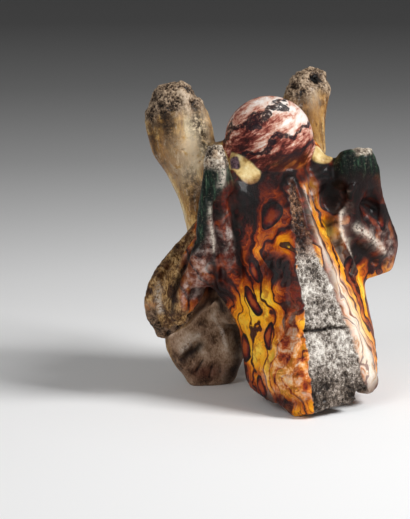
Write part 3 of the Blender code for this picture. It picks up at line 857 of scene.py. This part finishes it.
def finish_numbers(mesh, w):
    """The number of the material of each face, from the zones at its first corner."""
    broken = np.maximum.reduce([w["strip"], w["crumb"], w["facet"], w["lobe"]]) > 0.5
    bare = np.maximum(w["bare"], w["cream"]) > 0.5
    kind = np.where(broken, BROKEN, np.where(bare, BARE, np.where(w["ball"] > 0.5, HEAD, PAINTED)))
    first = np.empty(len(mesh.polygons), np.int32)
    mesh.polygons.foreach_get("loop_start", first)
    corner = np.empty(len(mesh.loops), np.int32)
    mesh.loops.foreach_get("vertex_index", corner)
    return kind[corner[first]].astype(np.int32)


def skin_mesh(collection):
    """The bone's skin in its own frame, with its attributes."""
    obj = bone_mesh(collection, VOXEL)
    finer = obj.modifiers.new("finer", "SUBSURF")
    finer.levels = finer.render_levels = 1
    bake(obj)
    mesh = obj.data
    count = len(mesh.vertices)
    p, n = np.empty(count * 3), np.empty(count * 3)
    mesh.vertices.foreach_get("co", p)
    mesh.vertex_normals.foreach_get("vector", n)
    p, n = p.reshape(-1, 3), n.reshape(-1, 3)
    w = zones(p)
    height = sculpt(p, w)
    moved = p + n * height[:, None]
    mesh.vertices.foreach_set("co", moved.ravel())
    place = mesh.attributes.new("bone", "FLOAT_VECTOR", "POINT")
    place.data.foreach_set("vector", p.ravel())
    for name, values in {**w, "height": height, **paint_layers(p)}.items():
        layer = mesh.attributes.new(name, "FLOAT", "POINT")
        layer.data.foreach_set("value", values)
    mesh.polygons.foreach_set("material_index", finish_numbers(mesh, w))
    mesh.shade_smooth()
    return obj


def rgb(code):
    """A linear colour with alpha from a six-digit sRGB code."""
    parts = [int(code[i : i + 2], 16) / 255 for i in (0, 2, 4)]
    return (*[c / 12.92 if c < 0.04045 else ((c + 0.055) / 1.055) ** 2.4 for c in parts], 1)


class Signal:
    """The output of a node. Arithmetic and calls on it add nodes to its tree, and give their outputs."""

    def __init__(self, net, socket):
        self.net, self.socket = net, socket

    def math(self, operation, other=0.0):
        return self.net.add("Math", {0: self, 1: other}, operation=operation)

    def __add__(self, other):
        return self.math("ADD", other)

    def __sub__(self, other):
        return self.math("SUBTRACT", other)

    def __rsub__(self, other):
        return self.net.add("Math", {0: other, 1: self}, operation="SUBTRACT")

    def __mul__(self, other):
        return self.math("MULTIPLY", other)

    def __truediv__(self, other):
        return self.math("DIVIDE", other)

    def __abs__(self):
        return self.math("ABSOLUTE")

    def step(self, low, high):
        """The same as fade, in nodes."""
        ends = {"Value": self, "From Min": low, "From Max": high}
        return self.net.add("MapRange", ends, interpolation_type="SMOOTHSTEP")

    def ramp(self, stops):
        """A colour from a value: stops are six-digit codes by place."""
        out = self.net.add("ValToRGB", {"Fac": self})
        elements = out.socket.node.color_ramp.elements
        while len(elements) < len(stops):
            elements.new(0.5)
        for element, (place, code) in zip(elements, stops.items()):
            element.position = place
            element.color = rgb(code)
        return out

    def mix(self, share, other, blend="MIX"):
        """This colour with another one, as a code or an output, laid over it."""
        other = rgb(other) if isinstance(other, str) else other
        return self.net.add("Mix", {0: share, 6: self, 7: other}, 2, data_type="RGBA", blend_type=blend)

    def scaled(self, x, y, z):
        return self.net.add("Mapping", {"Vector": self, "Scale": (x, y, z)})

    def up(self):
        return self.net.add("SeparateXYZ", {"Vector": self}, "Z")

    def noise(self, scale, detail=4.0, rough=0.55, distortion=0.0):
        return self.net.add("TexNoise", {
            "Vector": self, "Scale": scale, "Detail": detail, "Roughness": rough, "Distortion": distortion,
        })


class Net:
    """Adds nodes to a node tree."""

    def __init__(self, tree):
        self.tree = tree

    def fill(self, node, inputs):
        """Links each output, and sets each plain value, at the node's input of that name or number."""
        for key, value in inputs.items():
            if isinstance(value, Signal):
                self.tree.links.new(value.socket, node.inputs[key])
            else:
                node.inputs[key].default_value = value

    def add(self, kind, inputs, out=0, **settings):
        node = self.tree.nodes.new("ShaderNode" + kind)
        for name, value in settings.items():
            setattr(node, name, value)
        self.fill(node, inputs)
        return Signal(self, node.outputs[out])

    def read(self, name, out="Fac"):
        """One of the skin's attributes."""
        return self.add("Attribute", {}, out, attribute_name=name)


def bare_colour(net, place):
    colour = place.scaled(1, 1, 0.35).noise(0.09, 7, 0.66).ramp({
        0.36: "4a3520", 0.44: "8a6032", 0.5: "be8e4c", 0.56: "dcb26c", 0.64: "f2deb0",
    })
    streaks = place.scaled(1, 1, 0.26).noise(0.6, 7, 0.7)
    colour = colour.mix(streaks.step(0.5, 0.38) * 0.6, "7a5c3e", "MULTIPLY")
    colour = colour.mix(streaks.step(0.54, 0.66) * 0.5, "f4e8ce")
    stain = place.noise(0.12, 8, 0.72).step(0.5, 0.6)
    colour = colour.mix(stain * 0.75, "6a4a34", "MULTIPLY")
    specks = place.noise(1.2, 6, 0.75).step(0.55, 0.66)
    colour = colour.mix(specks * 0.6, "35281c")
    # Painted sheen: light cream streaks on the upper processes
    painted_sheen = net.read("painted_sheen") * place.noise(0.3, 6, 0.7).step(0.3, 0.5)
    colour = colour.mix(painted_sheen * 0.8, "f0dcbc")
    worn = net.read("worn") * place.noise(0.35, 7, 0.75).step(0.38, 0.56)
    colour = colour.mix(worn * 0.95, "2e2117")
    yellow = net.read("yellow") * streaks.step(0.4, 0.55)
    return colour.mix(yellow * 0.7, "8c6232")


def lobe_colour(place):
    fibre = place.scaled(1, 1, 0.3).noise(1.1, 7, 0.72)
    colour = fibre.ramp({0.32: "1a1008", 0.43: "6e4c2a", 0.53: "b48c58", 0.68: "e4c898"})
    return colour.mix(place.noise(0.12, 5, 0.6).step(0.46, 0.6), "7a6660", "MULTIPLY")


def facet_colour(place):
    tone = place.scaled(1, 1, 0.5).noise(1.6, 6, 0.7) * 0.35 + place.noise(0.12, 5, 0.6) * 0.65
    return tone.ramp({
        0.36: "3a2a20", 0.44: "7e604a", 0.5: "ac8c70", 0.56: "c8ac92", 0.64: "e0ccb8",
    })


def strip_colour(net, place):
    """Spongy bone with painted shade in its pits, darker towards both ends and brown in its upper part."""
    cells = net.add("TexVoronoi", {"Vector": place, "Scale": 1.5}, "Distance")
    # The height term is painted shade: the sunken pits come out darker
    light = net.read("height") * 0.07 + cells * 0.08
    light = light + place.noise(0.12, 3) * 0.25 + place.noise(3.0, 6, 0.85) * 0.85
    up = place.up()
    high = (up + place.noise(0.25, 4) * 16).step(-46, -30)
    low = (up + place.noise(0.25, 4) * 18).step(-84, -100)
    light = light - low * 0.07
    colour = light.ramp({
        0.462: "241b15", 0.512: "6a5b4e", 0.547: "b0a498", 0.582: "dcd4ca", 0.65: "f6f1e8",
    })
    colour = colour.mix(high.math("MAXIMUM", low * 0.75) * 0.6, "a08670", "MULTIPLY")
    brown = light.ramp({0.49: "241009", 0.55: "6e4026", 0.61: "b08058", 0.69: "e8c8a4"})
    return colour.mix(high * 0.9, brown)


def crumb_colour(net, place):
    # Grain, with painted shade from the sculpted height: darker in the pits
    grain_and_pit_shade = net.read("height") * 0.16 + place.noise(1.0, 7, 0.78)
    colour = grain_and_pit_shade.ramp({
        0.34: "17110d", 0.43: "5a4d42", 0.5: "9c8e7e", 0.57: "cabdaa", 0.68: "ece4d6",
    })
    up = place.up()
    warm = place.noise(0.14, 3).step(0.48, 0.62).math("MAXIMUM", up.step(3, 8))
    colour = colour.mix(warm * 0.6, "b89468", "MULTIPLY")
    return colour.mix(up.step(-40, -48) * 0.85, "8e6a4a", "MULTIPLY")


def green_colour(place):
    streak = place.scaled(1, 1, 0.2).noise(0.6, 6, 0.65)
    colour = streak.ramp({
        0.35: "030705", 0.52: "0a1811", 0.6: "1a3424", 0.68: "587058", 0.78: "b4b49c",
    })
    return colour.mix(place.noise(0.9, 5, 0.75).step(0.56, 0.68) * 0.5, "8c8670")


def ball_colour(net, place):
    """Wavy dark stripes on a ground of streaks, tilted across the round head."""
    turn = {"Vector": place, "Axis": (0.2, 1, 0), "Angle": math.radians(24)}
    turned = net.add("VectorRotate", turn, rotation_type="AXIS_ANGLE")
    band = turned.up() + place.noise(0.05, 4, 0.6) * 24.0
    wave = (band * 0.6).math("SINE") + place.noise(0.25, 7, 0.75) * 0.9
    tone = turned.scaled(0.35, 0.35, 1).noise(0.28, 8, 0.75)
    # Painted highlight and shade: the pale patches lighten the upper front of the round head and the dark
    # ones darken its lower front
    tone = tone + (net.read("pale") - net.read("dark")) * 0.14
    ground = tone.ramp({
        0.36: "32100f", 0.44: "6e2c24", 0.49: "ac6252", 0.54: "d2a08a", 0.6: "e8d0c2",
        0.7: "f6eee8", 0.85: "e8c8b0",
    })
    stripe = wave.step(1.08, 1.34) * place.noise(0.8, 6, 0.75).step(0.3, 0.5)
    rust = tone.ramp({0.35: "5a2208", 0.5: "c4701c", 0.65: "eeb055"})
    return ground.mix(stripe * 0.95, "1a1018").mix(net.read("rusty") * 0.85, rust)


def paint_colour(net, place):
    """Bands along the marbling's lines, each with a dark outline and its own shades, and knots between."""
    amber, dark, knot = (net.read(name) for name in ("amber", "dark", "knot"))
    line = net.read("flow") / BAND_WIDTH + place.noise(0.07, 2) * 3.4
    line = line + place.noise(0.35, 5, 0.6) * 0.36
    random = net.add("TexWhiteNoise", {"W": line.math("FLOOR")}, "Value", noise_dimensions="1D")
    edge = abs(line.math("FRACT") - 0.5) * 2
    streams = net.add("CombineXYZ", {"X": line * 5.0, "Y": 0.0, "Z": net.read("along")})
    streak = streams.scaled(1, 1, 0.09).noise(1.0, 5, 0.65)
    hue = net.add("Math", {0: random, 1: 0.42, 2: -0.02}, operation="MULTIPLY_ADD")
    for value, weight in (
        (place.noise(0.07, 3), 0.9), (streak, 0.55), (place.noise(0.7, 6, 0.75), 0.35),
    ):
        hue = hue + (value - 0.3) * weight
    # Some dark tints are painted shade under the round head and the right wing
    hue = hue - edge.math("POWER", 2.5) * 0.22 + amber * 0.4 - dark * 0.24
    ground = hue.ramp({
        0.14: "0c0403", 0.27: "38120a", 0.38: "74260a", 0.48: "b8500a", 0.6: "e88a0e",
        0.75: "ffb214", 0.95: "ffd648",
    })
    ground = ground.mix(place.noise(0.11, 4, 0.6).step(0.52, 0.6) * 0.6, "9c3018", "MULTIPLY")
    drawn = (edge - (1.04 - place.noise(0.1, 3) * 0.42)).step(-0.05, 0.04)
    inner = abs((line * 3.0).math("FRACT") - 0.5).step(0.36, 0.47)
    inner = inner * place.noise(0.16, 4).step(0.42, 0.56) * (0.8 - amber * 0.5)
    colour = ground.mix(inner, "5e0f0c").mix(drawn * 0.95, "2a0408")
    cream = streak.ramp({
        0.34: "a85a34", 0.42: "e8b88c", 0.48: "fae8d0", 0.6: "fff8ec", 0.74: "f0b878",
    })
    colour = colour.mix(net.read("pale") * 0.9, cream.mix(drawn * 0.7, "6e2a34"))
    mottle = place.noise(0.2, 7, 0.7, 0.5).ramp({
        0.38: "3a0e12", 0.45: "962e1a", 0.5: "d07034", 0.55: "ecae7c", 0.63: "f6e0cc",
    })
    colour = colour.mix(net.read("mottled") * 0.72, mottle)
    grey = place.noise(0.3, 6, 0.65)
    grey = grey.ramp({0.37: "140d0c", 0.47: "58423c", 0.56: "988880", 0.68: "d8cec6"})
    colour = colour.mix(net.read("grey") * 0.72, grey)
    core = (knot * 0.8 + place.noise(0.3, 5, 0.65) * 0.8).ramp({
        0.32: "1a0306", 0.52: "0c0407", 0.66: "3a0c0c", 0.8: "6e1a10", 1.0: "a84a1c",
    })
    colour = colour.mix(knot.step(0.02, 0.08), core)
    # Dark tints: dark paint, and painted shade under the round head and the right wing
    colour = colour.mix(dark * 0.85, "8e5c46", "MULTIPLY")
    grime = place.noise(0.6, 8, 0.75).step(0.57, 0.7)
    return colour.mix(grime * 0.4, "1c0a08")


def surface_group():
    """One node group that mixes the colour, roughness and fine relief of the skin from its attributes."""
    tree = bpy.data.node_groups.new("bone_surface", "ShaderNodeTree")
    net = Net(tree)
    place = net.read("bone", "Vector")
    colour = paint_colour(net, place)
    layers = {
        "bare": bare_colour(net, place),
        "lobe": lobe_colour(place),
        "facet": facet_colour(place),
        "green": green_colour(place),
        "cream": place.noise(0.2, 5).ramp({0.35: "8f6a35", 0.5: "d8b878", 0.65: "f0dda8"}),
        "crumb": crumb_colour(net, place),
        "strip": strip_colour(net, place),
        "ball": ball_colour(net, place),
    }
    for name, layer in layers.items():
        colour = colour.mix(net.read(name), layer)
    # Painted shade: darker where the sculpted height sinks, in grooves, pits and hollows
    hollow_shade = net.read("height").step(-0.4, -2.2)
    colour = colour.mix(hollow_shade * 0.7, "2a1a12", "MULTIPLY")
    # Black tints: dark paint, and painted shade under the round head, under the right wing, in the left
    # wing's first hollow and low on the right tail-end facet
    colour = colour.mix(net.read("black") * 0.9, "7e4434", "MULTIPLY")
    # Dark lines: partly dark paint, partly painted shade in grooves, creases and under edges
    colour = colour.mix(net.read("dark_lines_and_crease_shade") * 0.9, "170b0a")
    # Light lines: partly pale paint, partly painted highlights on rims and ridges, broken up by noise
    broken = place.noise(0.9, 6, 0.7).step(0.36, 0.56)
    colour = colour.mix(net.read("pale_rims_and_highlights") * broken * 0.9, "e2d4c4")
    spot = place.noise(0.9, 5, 0.7).ramp({0.35: "241820", 0.6: "7a5f66"})
    colour = colour.mix(net.read("spot"), spot)
    fine = place.noise(1.4, 6, 0.7)
    ends = {"Value": fine, "From Min": 0.3, "From Max": 0.7, "To Min": 0.22, "To Max": 0.42}
    outputs = {"Colour": colour, "Roughness": net.add("MapRange", ends), "Relief": fine}
    for name in outputs:
        kind = "NodeSocketColor" if name == "Colour" else "NodeSocketFloat"
        tree.interface.new_socket(name=name, in_out="OUTPUT", socket_type=kind)
    net.fill(tree.nodes.new("NodeGroupOutput"), outputs)
    return tree


# Coat, its roughness, specular level, added roughness and strength of the fine relief of each finish
FINISHES = {
    "varnished_paint": (0.09, 0.14, 0.14, 0.1, 0.7),
    "bare_bone": (0.05, 0.3, 0.25, 0.2, 0.4),
    "broken_bone": (0.0, 0.3, 0.2, 0.4, 0.5),
    "varnished_head": (1.0, 0.24, 0.5, 0.1, 0.3),
}
RELIEF_DEPTH = 0.6 * MM


def new_material(name):
    """A material, with its net and its shader."""
    material = bpy.data.materials.new(name)
    material.use_nodes = True
    return material, Net(material.node_tree), material.node_tree.nodes["Principled BSDF"]


def skin_materials():
    """A material for each finish, in the order of their numbers, all with the same colours."""
    group = surface_group()
    for name, (coat, coat_rough, specular, added, strength) in FINISHES.items():
        material, net, shader = new_material(name)
        surface = net.add("Group", {}, node_tree=group).socket.node
        colour, rough, relief = (Signal(net, output) for output in surface.outputs)
        bump = {"Height": relief, "Strength": strength, "Distance": RELIEF_DEPTH}
        net.fill(shader, {
            "Base Color": colour,
            "Roughness": rough + added,
            "Normal": net.add("Bump", bump, "Normal"),
            "Coat Weight": coat,
            "Coat Roughness": coat_rough,
            "Specular IOR Level": specular,
        })
        yield material


def floor_material():
    """A painted pool of light: near white round the object, and greyer the further from it."""
    material, net, shader = new_material("floor")
    place = net.add("TexCoord", {}, "Object")
    away = net.add("VectorMath", {0: place}, "Value", operation="LENGTH") * 0.4
    tone = away.ramp({
        0.05: "f4f4f4", 0.12: "ebebeb", 0.2: "d6d6d6", 0.3: "bcbcbc", 0.5: "9a9a9a",
        0.8: "747474",
    })
    net.fill(shader, {"Base Color": tone, "Roughness": 0.8})
    return material


def floor(collection):
    """A round studio floor that reaches past every view."""
    bm = bmesh.new()
    bmesh.ops.create_circle(bm, cap_ends=True, radius=FLOOR_RADIUS, segments=96)
    mesh = bpy.data.meshes.new("floor")
    bm.to_mesh(mesh)
    bm.free()
    mesh.materials.append(floor_material())
    new_object("floor", mesh, collection)


def direction(azimuth, elevation):
    """Unit vector away from the object, at degrees round it from its ventral side and above the floor."""
    a, e = math.radians(azimuth), math.radians(elevation)
    return Vector((math.sin(a) * math.cos(e), -math.cos(a) * math.cos(e), math.sin(e)))


def eye():
    """Where the photograph's camera stands, and how it is turned so that the round head is at its pixel."""
    back = direction(EYE_AZIMUTH, EYE_ELEVATION)
    ray = Vector((HEAD_PIXEL[0] - IMAGE[0] / 2, IMAGE[1] / 2 - HEAD_PIXEL[1], FOCAL)).normalized()
    pitch = math.asin(-back.z / math.hypot(ray.z, ray.y)) - math.atan2(ray.y, ray.z)
    ahead = ray.z * math.cos(pitch) - ray.y * math.sin(pitch)
    heading = math.atan2(-back.y, -back.x) - math.atan2(ahead, ray.x)
    return to_floor() @ Vector((0, 0, 0)) + back * EYE_DISTANCE, Euler((math.pi / 2 + pitch, 0, heading))


def camera(collection):
    data = bpy.data.cameras.new("camera")
    data.sensor_fit = "VERTICAL"
    data.sensor_height = 36
    data.lens = FOCAL * data.sensor_height / IMAGE[1]
    obj = new_object("camera", data, collection)
    obj.location, obj.rotation_euler = eye()
    bpy.context.scene.camera = obj


def softbox(name, azimuth, elevation, distance, width, power, collection):
    """A square light that faces the object."""
    data = bpy.data.lights.new(name, "AREA")
    data.shape = "RECTANGLE"
    data.size = data.size_y = width
    data.energy = power
    obj = new_object(name, data, collection)
    away = direction(EYE_AZIMUTH + azimuth, elevation)
    obj.location = Vector((0, 0, LIT_HEIGHT)) + away * distance
    obj.rotation_euler = away.to_track_quat("Z", "Y").to_euler()


def studio(collection):
    floor(collection)
    camera(collection)
    for name, values in SOFTBOXES.items():
        softbox(name, *values, collection)
    world = bpy.data.worlds.new("studio")
    bpy.context.scene.world = world
    world.use_nodes = True
    background = world.node_tree.nodes["Background"]
    background.inputs["Color"].default_value = (1, 1, 1, 1)
    background.inputs["Strength"].default_value = WORLD_STRENGTH
    bpy.context.scene.view_settings.view_transform = "Standard"


def main():
    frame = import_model()
    collection = bpy.context.scene.collection
    skin = skin_mesh(collection)
    skin.name = "vertebra"
    skin.data.transform(to_floor())
    for v in skin.data.vertices:
        v.co.z = max(v.co.z, 0)
    skin.data.materials.clear()
    for material in skin_materials():
        skin.data.materials.append(material)
    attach(skin, "root")
    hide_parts(*frame["nodes"])
    studio(collection)


main()
